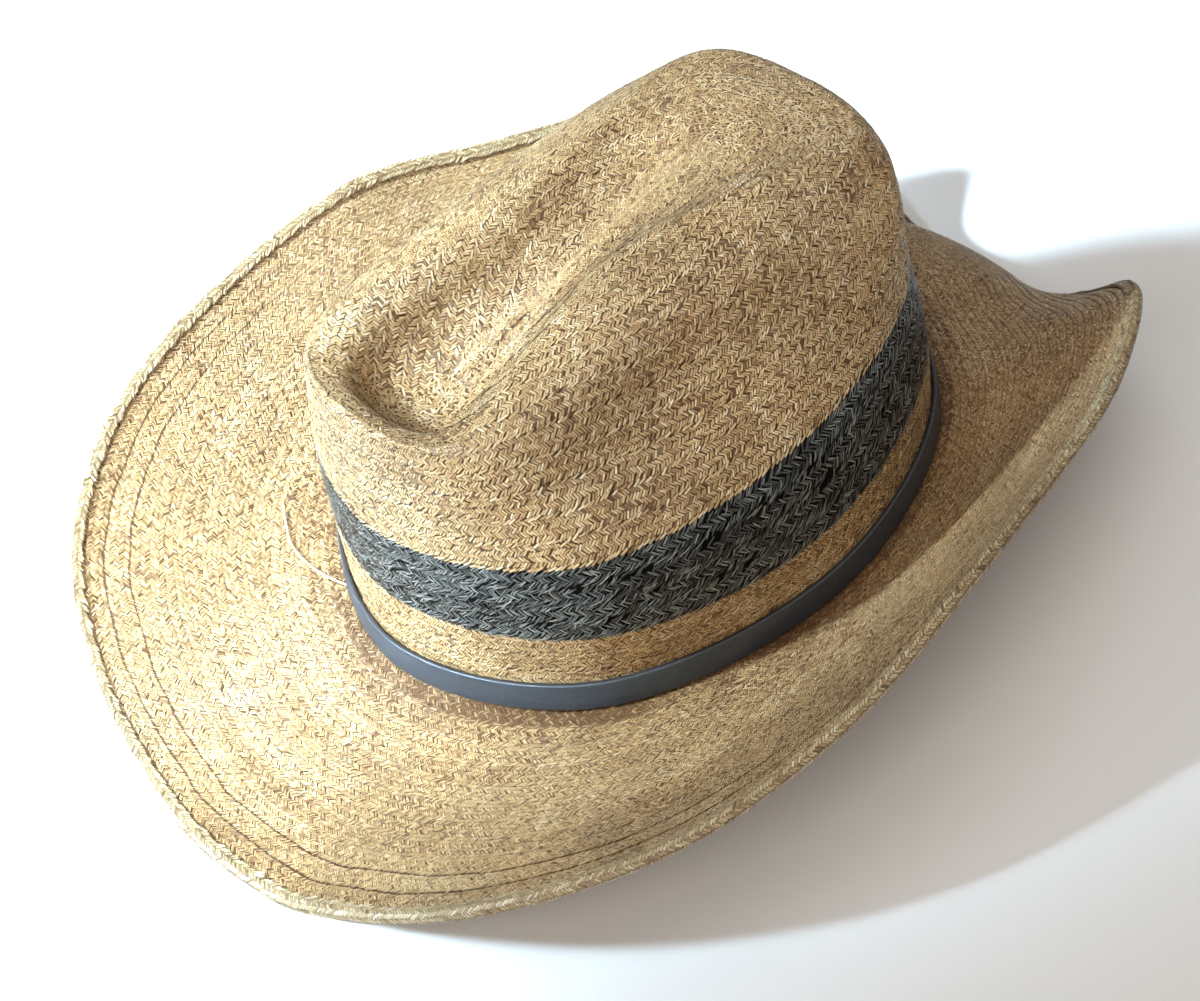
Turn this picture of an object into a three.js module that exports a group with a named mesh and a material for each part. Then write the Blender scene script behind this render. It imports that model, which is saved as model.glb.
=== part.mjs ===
// Straw cowboy hat, sewn from a flat plait: crown, black stripe, brim, edge binding and leather band.
// Millimetres, +Z up, the wearer's front towards -Y, resting on the plane Z = 0.
import * as THREE from 'three';
import { mergeVertices } from 'three/addons/utils/BufferGeometryUtils.js';

// Driving sizes
const STRAW = 2.0;
const GAP = 0.3;
const AROUND = 72;
const CROWN_LEAN = 7.0 * Math.PI / 180;
const CROWN_LIFT = 26.8;
const CROWN_BACK = 7.726;
const LEATHER = 1.6;
const BAND_FOOT = 1.2;
const BAND_WIDTH = 10.0;
const FLANGE = 5.5;
const BIND = 1.0;

// Crown rows from the brim break up over the rim and down to the spine of the top crease.
// Heights are above the break; Y is front to back and X is half the width.
// The full columns say how far out the front and back corners sit, as a share of the row's reach.
// zFront zSide zBack | yFront xFront xSide xBack yBack | fullFront fullBack
const CROWN_ROWS = {
  break: [0, 0, 0, -102.5, 64, 89.5, 64, 102.5, 0.71, 0.71],
  band: [10, 10, 10, -100.5, 63.5, 89.2, 64, 102.2, 0.71, 0.71],
  stripeLow: [30.5, 26, 29.5, -96.5, 66.5, 89, 64.5, 103.2, 0.71, 0.72],
  stripeHigh: [57.5, 56, 57, -93, 63, 81.5, 60, 103.5, 0.71, 0.74],
  shoulder: [77, 81, 77, -88.5, 51.5, 58.4, 55.4, 101.8, 0.77, 0.8],
  roll: [95, 98.2, 86.5, -85, 39, 42.4, 43.6, 101.5, 0.84, 0.87],
  rim: [96.4, 103.7, 95.2, -82.4, 30, 23.4, 33, 95, 0.9, 0.92],
  lip: [93.4, 101.4, 95.6, -77.5, 23.5, 18.4, 27, 87, 0.9, 0.92],
  wall: [83.6, 96.4, 95.3, -71.5, 16.5, 12.9, 18.6, 77, 0.91, 0.93],
  floor: [79.5, 92.5, 94.6, -62.5, 9, 7, 9.5, 65, 0.92, 0.94],
  spine: [86.5, 91, 94.2, -23, 0, 0, 0, 50, 0.8, 0.8],
};
const SIDE_Y = 3;

// Brim rows by angle from the front: reach in plan from the break to the edge, height of the edge
// and of the knee that bends the profile, both over the ground, and the knee's share of the reach.
// angle | reach edge knee kneeAt
const BRIM_ROWS = [
  [0, 81, 3.3, 3.3, 0.5],
  [10, 81.5, 3.3, 3.3, 0.5],
  [20, 85, 14.5, 9, 0.5],
  [32, 87.5, 29, 15, 0.5],
  [50, 82, 46.5, 24, 0.5],
  [70, 69, 60, 32, 0.5],
  [90, 56, 71, 36, 0.5],
  [110, 50, 66, 40, 0.5],
  [130, 56, 62, 41.5, 0.5],
  [147, 66.4, 58.4, 42.7, 0.525],
  [161, 66, 27.3, 38.4, 0.565],
  [173, 65.5, 2.143, 42, 0.72],
  [180, 65.5, 2.143, 42, 0.72],
];

// Smooth value of table rows at a place, level where two neighbouring rows agree.
function rowsAt(places, values, at) {
  let k = 0;
  while (k < places.length - 2 && at >= places[k + 1]) k += 1;
  const step = (i) => (values[i + 1] - values[i]) / (places[i + 1] - places[i]);
  const slope = (i) => {
    if (i === 0) return values[1] === values[0] ? 0 : step(0);
    if (i === places.length - 1) return step(i - 1);
    const a = step(i - 1);
    const b = step(i);
    if (a === 0 || b === 0) return 0;
    const ha = places[i] - places[i - 1];
    const hb = places[i + 1] - places[i];
    return (a * hb + b * ha) / (ha + hb);
  };
  const h = places[k + 1] - places[k];
  const f = (at - places[k]) / h;
  const start = (2 * f - 3) * f * f + 1;
  const end = (3 - 2 * f) * f * f;
  return start * values[k] + end * values[k + 1]
    + ((f - 2) * f + 1) * f * h * slope(k) + (f - 1) * f * f * h * slope(k + 1);
}

// One closed crown row through its front, corners, sides and back.
function crownCurve([zFront, zSide, zBack, yFront, xFront, xSide, xBack, yBack, fullFront, fullBack]) {
  const half = [
    new THREE.Vector3(0, yFront, zFront),
    new THREE.Vector3(xFront, yFront * fullFront, zFront),
    new THREE.Vector3(xSide, SIDE_Y, zSide),
    new THREE.Vector3(xBack, yBack * fullBack, zBack),
    new THREE.Vector3(0, yBack, zBack),
  ];
  const mirror = [3, 2, 1].map((i) => new THREE.Vector3(-half[i].x, half[i].y, half[i].z));
  return new THREE.CatmullRomCurve3([...half, ...mirror], true, 'centripetal');
}

const names = Object.keys(CROWN_ROWS);
const curves = names.map((name) => crownCurve(CROWN_ROWS[name]));

// Running length up the crown at each row, the mean over the eight guide points.
const up = [0];
for (let i = 1; i < curves.length; i += 1) {
  const steps = curves[i].points.map((p, j) => p.distanceTo(curves[i - 1].points[j]));
  up.push(up[i - 1] + steps.reduce((a, b) => a + b, 0) / steps.length);
}
const height = Object.fromEntries(names.map((name, i) => [name, up[i]]));

const turn = (u) => ((u % 1) + 1) % 1;

// Crown point before the crown is leaned: u goes round from the front, t climbs in millimetres.
function crownRaw(u, t) {
  const ring = curves.map((curve) => curve.getPoint(turn(u)));
  return new THREE.Vector3(
    rowsAt(up, ring.map((p) => p.x), t),
    rowsAt(up, ring.map((p) => p.y), t),
    rowsAt(up, ring.map((p) => p.z), t),
  );
}

// The crown leans forward on the brim.
function lean(p) {
  const c = Math.cos(CROWN_LEAN);
  const s = Math.sin(CROWN_LEAN);
  return new THREE.Vector3(p.x, c * p.y - s * p.z + CROWN_BACK, s * p.y + c * p.z + CROWN_LIFT);
}

const crownPoint = (u, t) => lean(crownRaw(u, t));

// Unit normal pointing away from the head.
function crownNormal(u, t) {
  const top = up[up.length - 1];
  const a = crownPoint(u + 1e-4, Math.min(t, top - 0.02));
  const b = crownPoint(u - 1e-4, Math.min(t, top - 0.02));
  const c = crownPoint(u, Math.min(t + 0.01, top));
  const d = crownPoint(u, Math.max(Math.min(t, top) - 0.01, 0));
  const n = a.sub(b).cross(c.sub(d));
  if (t >= top) n.x = 0;
  return n.normalize();
}

// Crown surface moved out by a distance along its normal.
const crownAt = (u, t, out) => crownPoint(u, t).addScaledVector(crownNormal(u, t), out);

// Brim profile at u: the break, the knee and the edge of a bent strip of plait.
function brimProfile(u) {
  const foot = crownPoint(u, 0);
  const along = crownPoint(u + 1e-4, 0).sub(crownPoint(u - 1e-4, 0));
  const out = new THREE.Vector3(along.y, -along.x, 0).normalize();
  const angle = 360 * Math.min(turn(u), 1 - turn(u));
  const places = BRIM_ROWS.map((row) => row[0]);
  const [reach, edgeZ, kneeZ, kneeAt] = [1, 2, 3, 4].map((i) => {
    const column = BRIM_ROWS.map((row) => row[i]);
    return rowsAt(places, column, angle);
  });
  const edge = foot.clone().addScaledVector(out, reach).setZ(edgeZ);
  const knee = foot.clone().addScaledVector(out, reach * kneeAt).setZ(kneeZ);
  return { foot, knee, edge, out };
}

function brimPoint(u, s) {
  const { foot, knee, edge } = brimProfile(u);
  const p = foot.multiplyScalar((1 - s) * (1 - s));
  p.addScaledVector(knee, 2 * s * (1 - s));
  return p.addScaledVector(edge, s * s);
}

// Unit normal of the brim's top face, from the profile's own tangent and its neighbours.
function brimNormal(u, s) {
  const { foot, knee, edge } = brimProfile(u);
  const rise = knee.clone().sub(foot).multiplyScalar(1 - s).addScaledVector(edge.sub(knee), s);
  const along = brimPoint(u + 1e-4, s).sub(brimPoint(u - 1e-4, s));
  return rise.cross(along).normalize();
}

const brimAt = (u, s, out) => brimPoint(u, s).addScaledVector(brimNormal(u, s), out);

// Share of the profile left inside the binding's flange.
function flangeStart(u) {
  const { knee, edge } = brimProfile(u);
  return 1 - FLANGE / (2 * edge.distanceTo(knee));
}

const turns = Array.from({ length: AROUND }, (_, i) => i / AROUND);
const ringOf = (place) => turns.map(place);

// Closed body from rings that run round the hat; a looped body joins its last ring to its first.
// Each patch is split along its shorter diagonal, so facing pieces crease alike.
function body(rings, looped) {
  const spots = rings.flat();
  const faces = [];
  const count = looped ? rings.length : rings.length - 1;
  for (let r = 0; r < count; r += 1) {
    const next = (r + 1) % rings.length;
    for (let i = 0; i < AROUND; i += 1) {
      const j = (i + 1) % AROUND;
      const a = r * AROUND + i;
      const b = r * AROUND + j;
      const c = next * AROUND + j;
      const d = next * AROUND + i;
      const shorter = spots[a].distanceTo(spots[c]) <= spots[b].distanceTo(spots[d]) + 1e-6;
      faces.push(...(shorter ? [a, b, c, a, c, d] : [a, b, d, b, c, d]));
    }
  }
  const points = spots.flatMap((p) => p.toArray());
  const geometry = new THREE.BufferGeometry();
  geometry.setAttribute('position', new THREE.Float32BufferAttribute(points, 3));
  geometry.setIndex(faces);
  const welded = mergeVertices(geometry, 1e-3);
  welded.computeVertexNormals();
  return welded;
}

// Evenly spaced heights from one crown row up to another.
function climb(from, to, steps) {
  return Array.from({ length: steps + 1 }, (_, i) => from + (to - from) * (i / steps));
}

// Straw wall of the crown: down its inside, then up its outside.
function crownWall(heights, looped) {
  const inside = heights.map((t) => ringOf((u) => crownAt(u, t, -STRAW))).reverse();
  const outside = heights.map((t) => ringOf((u) => crownAt(u, t, 0)));
  return body([...inside, ...outside], looped);
}

// Upper crown: from the stripe over the rim and down into the crease, closed along the spine.
function crownTop() {
  const heights = climb(height.stripeHigh + GAP / 2, height.shoulder, 3);
  const steps = { roll: 2, rim: 2, lip: 2, wall: 1, floor: 1, spine: 1 };
  Object.entries(steps).forEach(([name, count]) => {
    heights.push(...climb(heights[heights.length - 1], height[name], count).slice(1));
  });
  return crownWall(heights, false);
}

// Rows of black plait round the crown.
function crownStripe() {
  return crownWall(climb(height.stripeLow + GAP / 2, height.stripeHigh - GAP / 2, 3), true);
}

// Natural rows below the stripe, standing on the brim.
function crownBase() {
  return crownWall([...climb(GAP, height.band, 1), height.stripeLow - GAP / 2], true);
}

// Brim: a lip under the crown wall, then the bent profile out to the edge.
function brim() {
  const shares = [0, 0.15, 0.3, 0.45, 0.6, 0.75];
  const at = (u, s) => (s === 'flange' ? flangeStart(u) : s);
  const stops = [...shares, 'flange', 1];
  const lip = (u) => crownAt(u, 0, -STRAW);
  const under = stops.map((s) => ringOf((u) => brimAt(u, at(u, s), -STRAW)));
  const top = stops.map((s) => ringOf((u) => brimAt(u, at(u, s), 0))).reverse();
  const lipUnder = ringOf((u) => lip(u).add(new THREE.Vector3(0, 0, -STRAW)));
  return body([lipUnder, ...under, ...top, ringOf(lip)], true);
}

// Folded plait that wraps the brim edge: an outer round and two flanges.
function brimBinding() {
  const section = (u, out, up) => {
    const { knee, edge } = brimProfile(u);
    const away = edge.clone().sub(knee).normalize();
    const start = out < 0 ? brimPoint(u, flangeStart(u)) : edge.addScaledVector(away, out);
    return start.addScaledVector(brimNormal(u, out < 0 ? flangeStart(u) : 1), up);
  };
  const over = GAP + BIND;
  const below = -STRAW - GAP;
  const corners = [
    [0.4, below - BIND],
    [GAP + BIND, below],
    [GAP + BIND, GAP],
    [0.4, over],
    [-FLANGE, over],
    [-FLANGE, GAP],
    [GAP, GAP],
    [GAP, below],
    [-FLANGE, below],
    [-FLANGE, below - BIND],
  ];
  return body(corners.map(([out, up]) => ringOf((u) => section(u, out, up))), true);
}

// Leather band: a plain closed strap round the foot of the crown, its edges broken.
function hatBand() {
  const low = BAND_FOOT;
  const high = BAND_FOOT + BAND_WIDTH;
  const face = GAP + LEATHER;
  const broken = 0.4;
  const corners = [
    [low, face - broken],
    [low + broken, face],
    [high - broken, face],
    [high, face - broken],
    [high, GAP],
    [low, GAP],
  ];
  return body(corners.map(([t, out]) => ringOf((u) => crownAt(u, t, out))), true);
}

function piece(name, geometry, colour, roughness) {
  const material = new THREE.MeshStandardMaterial({ color: colour, roughness, metalness: 0 });
  const mesh = new THREE.Mesh(geometry, material);
  mesh.name = name;
  return mesh;
}

const hat = new THREE.Group();
hat.name = 'straw_hat';
hat.add(
  piece('crown_top', crownTop(), 0xb59a6c, 0.7),
  piece('crown_stripe', crownStripe(), 0x2f3230, 0.55),
  piece('crown_base', crownBase(), 0xbca274, 0.7),
  piece('brim', brim(), 0xb09467, 0.7),
  piece('brim_binding', brimBinding(), 0xc4ab7c, 0.7),
  piece('hat_band', hatBand(), 0x1d2026, 0.4),
);

export default hat;
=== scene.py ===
import bpy
import numpy as np
from mathutils import Matrix


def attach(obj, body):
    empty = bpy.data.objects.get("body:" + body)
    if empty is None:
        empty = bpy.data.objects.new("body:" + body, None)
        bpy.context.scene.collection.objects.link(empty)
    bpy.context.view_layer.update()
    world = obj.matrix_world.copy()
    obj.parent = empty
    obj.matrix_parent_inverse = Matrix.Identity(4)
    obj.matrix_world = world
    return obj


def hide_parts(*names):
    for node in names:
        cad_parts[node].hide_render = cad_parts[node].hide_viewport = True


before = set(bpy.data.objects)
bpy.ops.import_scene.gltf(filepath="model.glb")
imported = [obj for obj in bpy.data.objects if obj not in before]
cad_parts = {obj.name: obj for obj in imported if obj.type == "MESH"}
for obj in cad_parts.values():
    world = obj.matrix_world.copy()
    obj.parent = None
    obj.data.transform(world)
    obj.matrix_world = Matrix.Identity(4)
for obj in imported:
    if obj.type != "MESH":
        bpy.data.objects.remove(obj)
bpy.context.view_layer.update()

# Studio: a pale floor under soft lamps. Two cool lamps stand in front on the wearer's right, a warm
# one in front on the left, and a wide one hangs overhead. The camera looks down on the left side of
# the brim and leans a little.
scene = bpy.context.scene
CAMERA_PLACE = (0.50162, -0.337634, 0.57193)
CAMERA_RIGHT = (0.645411, 0.750756, -0.140789)
CAMERA_UP = (-0.449942, 0.522613, 0.724178)
CAMERA_BACK = (0.617259, -0.404046, 0.675088)


def placed(name, data):
    """New object in the scene that holds a mesh, a lamp or a camera."""
    made = bpy.data.objects.new(name, data)
    scene.collection.objects.link(made)
    return made


def stand(side, rise, away, place):
    """Placing of a camera or a lamp at place, with side to its right, rise upwards and away behind it."""
    return Matrix([[side[i], rise[i], away[i], place[i]] for i in range(3)] + [[0, 0, 0, 1]])


camera_data = bpy.data.cameras.new("camera")
camera_data.sensor_fit = "HORIZONTAL"
camera_data.sensor_width = 36.0
camera_data.lens = 75.8
camera_data.clip_start = 0.01
camera = placed("camera", camera_data)
camera.matrix_world = stand(CAMERA_RIGHT, CAMERA_UP, CAMERA_BACK, CAMERA_PLACE)
scene.camera = camera
scene.view_settings.view_transform = "Standard"

HAT_MIDDLE = (0.0, 0.0, 0.05)
COOL_LIGHT = (0.64, 0.84, 1.0)
WARM_LIGHT = (1.0, 0.92, 0.82)
OVERHEAD_LIGHT = (1.0, 0.96, 0.9)


def soft_light(name, place, aim, size, spread, watts, colour):
    data = bpy.data.lights.new(name, "AREA")
    data.shape = "DISK"
    data.size = size
    data.spread = np.radians(spread)
    data.energy = watts
    data.color = colour
    lamp = placed(name, data)
    away = np.array(place) - np.array(aim)
    away = away / np.linalg.norm(away)
    side = np.cross((0, 0, 1), away)
    side = side / np.linalg.norm(side)
    lamp.matrix_world = stand(side, np.cross(away, side), away, place)


soft_light("key_light", (-0.6, -1.0, 1.3), aim=(-0.32, -0.22, 0.02),
           size=0.6, spread=12, watts=3.0, colour=COOL_LIGHT)
soft_light("front_light", (-0.75, -1.25, 0.95), aim=(-0.26, -0.2, 0.05),
           size=0.55, spread=12, watts=4.4, colour=COOL_LIGHT)
soft_light("side_light", (0.8, -1.0, 1.0), aim=HAT_MIDDLE,
           size=0.9, spread=180, watts=7.6, colour=WARM_LIGHT)
soft_light("top_light", (0.15, 0.2, 1.8), aim=HAT_MIDDLE,
           size=1.6, spread=180, watts=6.0, colour=OVERHEAD_LIGHT)

world = bpy.data.worlds.new("studio")
world.use_nodes = True
background = world.node_tree.nodes["Background"]
background.inputs["Color"].default_value = (1.0, 0.985, 0.96, 1)
background.inputs["Strength"].default_value = 0.29
scene.world = world

FLOOR_HALF = 6.0
FLOOR_Z = -0.0005
floor_corners = [(x * FLOOR_HALF, y * FLOOR_HALF, FLOOR_Z) for x, y in ((-1, -1), (1, -1), (1, 1), (-1, 1))]
floor_mesh = bpy.data.meshes.new("floor")
floor_mesh.from_pydata(floor_corners, [], [(0, 1, 2, 3)])
floor = placed("floor", floor_mesh)
floor_paint = bpy.data.materials.new("floor_paint")
floor_paint.use_nodes = True
floor_shader = floor_paint.node_tree.nodes["Principled BSDF"]
floor_shader.inputs["Base Color"].default_value = (0.97, 0.97, 0.97, 1)
floor_shader.inputs["Roughness"].default_value = 0.85
floor_mesh.materials.append(floor_paint)

# Upper crown: natural palm plait, a flat braid of narrow leaf strips, sewn row over row round the
# spine of a pinched crease. The lower edge of each row laps over the row below it.
MM = 0.001
AROUND = 720
TURNS = np.arange(AROUND) / AROUND
SIDE_Y = 3.0
CROWN_LEAN = np.radians(7.0)
CROWN_LIFT = 26.8
CROWN_BACK = 7.726
# z_front z_side z_back | y_front x_front x_side x_back y_back | full_front full_back
CROWN_ROWS = {
    "break": (0, 0, 0, -102.5, 64, 89.5, 64, 102.5, 0.71, 0.71),
    "band": (10, 10, 10, -100.5, 63.5, 89.2, 64, 102.2, 0.71, 0.71),
    "stripe_low": (30.5, 26, 29.5, -96.5, 66.5, 89, 64.5, 103.2, 0.71, 0.72),
    "stripe_high": (57.5, 56, 57, -93, 63, 81.5, 60, 103.5, 0.71, 0.74),
    "shoulder": (77, 81, 77, -88.5, 51.5, 58.4, 55.4, 101.8, 0.77, 0.8),
    "roll": (95, 98.2, 86.5, -85, 39, 42.4, 43.6, 101.5, 0.84, 0.87),
    "rim": (96.4, 103.7, 95.2, -82.4, 30, 23.4, 33, 95, 0.9, 0.92),
    "lip": (93.4, 101.4, 95.6, -77.5, 23.5, 18.4, 27, 87, 0.9, 0.92),
    "wall": (83.6, 96.4, 95.3, -71.5, 16.5, 12.9, 18.6, 77, 0.91, 0.93),
    "floor": (79.5, 92.5, 94.6, -62.5, 9, 7, 9.5, 65, 0.92, 0.94),
    "spine": (86.5, 91, 94.2, -23, 0, 0, 0, 50, 0.8, 0.8),
}


def crown_guides(row):
    z_front, z_side, z_back, y_front, x_front, x_side, x_back, y_back, full_front, full_back = row
    half = [(0, y_front, z_front), (x_front, y_front * full_front, z_front), (x_side, SIDE_Y, z_side),
            (x_back, y_back * full_back, z_back), (0, y_back, z_back)]
    return half + [(-x, y, z) for x, y, z in half[3:0:-1]]


GUIDES = np.array([crown_guides(row) for row in CROWN_ROWS.values()], float)
CLIMB = np.concatenate([[0], np.cumsum(np.linalg.norm(np.diff(GUIDES, axis=0), axis=2).mean(1))])
CLIMB_TO = dict(zip(CROWN_ROWS, CLIMB))


def round_rows(turns):
    """Every crown row at the given turns: a closed smooth curve through its guide points."""
    guides = GUIDES.shape[1]
    place = (turns % 1.0) * guides
    k = np.floor(place).astype(int)
    f = (place - k)[None, :, None]
    p = [GUIDES[:, (k + j) % guides] for j in (-1, 0, 1, 2)]
    d = [((p[j + 1] - p[j]) ** 2).sum(-1, keepdims=True) ** 0.25 for j in range(3)]
    t1 = ((p[1] - p[0]) / d[0] - (p[2] - p[0]) / (d[0] + d[1]) + (p[2] - p[1]) / d[1]) * d[1]
    t2 = ((p[2] - p[1]) / d[1] - (p[3] - p[1]) / (d[1] + d[2]) + (p[3] - p[2]) / d[2]) * d[1]
    bend = (3 * (p[2] - p[1]) - 2 * t1 - t2) * f ** 2
    twist = (2 * (p[1] - p[2]) + t1 + t2) * f ** 3
    return p[1] + t1 * f + bend + twist


def through_rows(knots, values, at):
    """Smooth values between table rows; values are (rows, columns, parts) and at is (places, columns)."""
    h = np.diff(knots)[:, None, None]
    step = np.diff(values, axis=0) / h
    slope = np.zeros_like(values)
    slope[0], slope[-1] = step[0], step[-1]
    level = (step[:-1] == 0) | (step[1:] == 0)
    slope[1:-1] = np.where(level, 0, (step[:-1] * h[1:] + step[1:] * h[:-1]) / (h[1:] + h[:-1]))
    k = np.clip(np.searchsorted(knots, at, side="right") - 1, 0, len(knots) - 2)
    column = np.arange(values.shape[1])[None, :]
    low, high = values[k, column], values[k + 1, column]
    hk = h[k][..., 0]
    f = (at - knots[k])[..., None] / hk
    return ((2 * f - 3) * f * f * (low - high) + low
            + ((f - 2) * f + 1) * f * hk * slope[k, column] + (f - 1) * f * f * hk * slope[k + 1, column])


def crown_points(turns, climbs):
    """Crown surface at each turn (columns) and climb (places by columns), leaned forward, in millimetres."""
    p = through_rows(CLIMB, round_rows(turns), climbs)
    c, s = np.cos(CROWN_LEAN), np.sin(CROWN_LEAN)
    return np.stack([p[..., 0], c * p[..., 1] - s * p[..., 2] + CROWN_BACK,
                     s * p[..., 1] + c * p[..., 2] + CROWN_LIFT], -1)


MERIDIAN_STEPS = 260
PER_ROW = 8
SEAM_WAVES = (7, 13, 22, 37, 58)
SEAM_SWING = (0.3, 1.0)


def sew_rows(meridians, rows, wander, rng):
    """Grid of points for rows of equal width up each meridian, with seams that wander a little."""
    run = np.linalg.norm(np.diff(meridians, axis=0), axis=2)
    share = np.concatenate([np.zeros((1, AROUND)), np.cumsum(run, 0)])
    share = share / share[-1]
    seam = np.zeros((rows + 1, AROUND))
    for waves in SEAM_WAVES:
        phase = rng.random((rows + 1, 1)) * 2 * np.pi
        seam += np.sin(2 * np.pi * waves * TURNS[None] + phase) * rng.uniform(*SEAM_SWING, (rows + 1, 1))
    seam *= wander
    seam[0] = seam[-1] = 0
    r = np.linspace(0, rows, rows * PER_ROW + 1)
    k = np.minimum(np.floor(r).astype(int), rows - 1)
    f = (r - k)[:, None]
    wanted = (r[:, None] + (1 - f) * seam[k] + f * seam[k + 1]) / rows
    grid = np.empty((len(r), AROUND, 3))
    for a in range(AROUND):
        for axis in range(3):
            grid[:, a, axis] = np.interp(wanted[:, a], share[:, a], meridians[:, a, axis])
    return grid


TINY = 1e-9
CLOSED = 0.001


def unit(v):
    return v / np.maximum(np.linalg.norm(v, axis=-1, keepdims=True), TINY)


def sheet_frames(grid):
    """Unit directions on a grid: round the hat, up the rows, and out of the surface.

    The last ring takes the directions of the ring before it. Where it closes to a line, the row that
    ends there lies flat.
    """
    around = unit(np.roll(grid, -1, 1) - np.roll(grid, 1, 1))
    around[-1] = around[-2]
    up = np.gradient(grid, axis=0)
    up[-1] = up[-2]
    out = unit(np.cross(around, up))
    if np.ptp(grid[-1, :, 0]) < CLOSED:
        out[-PER_ROW:, :, 0] *= np.linspace(1, 0, PER_ROW)[:, None]
        out = unit(out)
    return around, unit(np.cross(out, around)), out


def sample(field, row_place, turn_place):
    """Value of a grid field between its points; rows are open and turns close up."""
    b = np.clip(np.floor(row_place).astype(int), 0, field.shape[0] - 2)
    a = np.floor(turn_place).astype(int)
    fb = (row_place - b)[:, None]
    fa = (turn_place - a)[:, None]
    a0, a1 = a % AROUND, (a + 1) % AROUND
    low = field[b, a0] * (1 - fa) + field[b, a1] * fa
    high = field[b + 1, a0] * (1 - fa) + field[b + 1, a1] * fa
    return low * (1 - fb) + high * fb


def loop_steps(ring):
    return np.linalg.norm(np.roll(ring, -1, 0) - ring, axis=1)


def toward_front(turns):
    """1 over the front of the hat, fading to 0 at its sides."""
    return np.clip(2 * np.cos(2 * np.pi * turns), 0, 1)


TONE_SHAPE = 8
TONE_KNOTS = 24
TONE_DRIFT = 0.05
STAIN_TONE = 0.25
STAIN_SHARE = 0.05
DARKEST = 0.09


def row_strands(count, row_tone, rng):
    """Tones of a row's two sets of strands, with paler and darker stretches and a few stained straws."""
    knots = rng.normal(0, 1, TONE_KNOTS)
    knots = np.append(knots, knots[0])
    drift = np.interp(np.arange(count) * TONE_KNOTS / count, np.arange(TONE_KNOTS + 1), knots)
    strands = rng.beta(TONE_SHAPE, TONE_SHAPE, (2, count)) + row_tone + TONE_DRIFT * drift
    return strands - STAIN_TONE * (rng.random((2, count)) < STAIN_SHARE)


STRAND_SHIFT = 3
STRAW_LIFT = 0.025


def herringbone_line(column, strands, weave, rng):
    """One column of parallel straws: place round the hat, tone, angle, length, breadth and lift."""
    n = strands.shape[1]
    lean = 1 - 2 * (column % 2)
    i = np.arange(n)
    share = (i + 0.5 * (column % 2) + rng.normal(0, weave["jitter"], n)) / n % 1.0
    tone = strands[column % 2, (i - lean * STRAND_SHIFT * (column // 2)) % n]
    angle = lean * np.radians(weave["angle"] + rng.normal(0, weave["stray"], n))
    lift = rng.normal(0, STRAW_LIFT, n)
    return share, tone, angle, np.ones(n), np.ones(n), lift


SELVEDGE_JITTER = 0.15
SELVEDGE_STRAY = 3
SELVEDGE_LENGTH = (1.1, 1.5)
SELVEDGE_LIFT = (0.08, 0.03)
THREAD_TONE = 0.35
THREAD_ANGLE = 1.5


def selvedge_line(n, threaded, strands, weave, rng):
    """Longer strands along the lower edge of a row, or the pale sewing that shows there."""
    count = strands.shape[1]
    share = (np.arange(n) + rng.normal(0, SELVEDGE_JITTER, n)) / n % 1.0
    tone = strands[0, (share * count).astype(int) % count]
    tone = tone + (THREAD_TONE if threaded else weave["selvedge_tone"])
    angle = THREAD_ANGLE if threaded else weave["selvedge_angle"]
    angle = np.radians(angle + rng.normal(0, SELVEDGE_STRAY, n))
    length = rng.uniform(*SELVEDGE_LENGTH, n)
    lift = rng.normal(*SELVEDGE_LIFT, n)
    return share, tone, angle, length, np.full(n, weave["selvedge_breadth"]), lift


FEWEST_STRAWS = 8
OPEN_EDGE = 0.01
HOLE_STRAY = 0.07
HOLE_END = 0.2
STRAW_ROLL = 0.11
LENGTH_SPREAD = 0.05
BREADTH_SPREAD = 0.06


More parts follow.
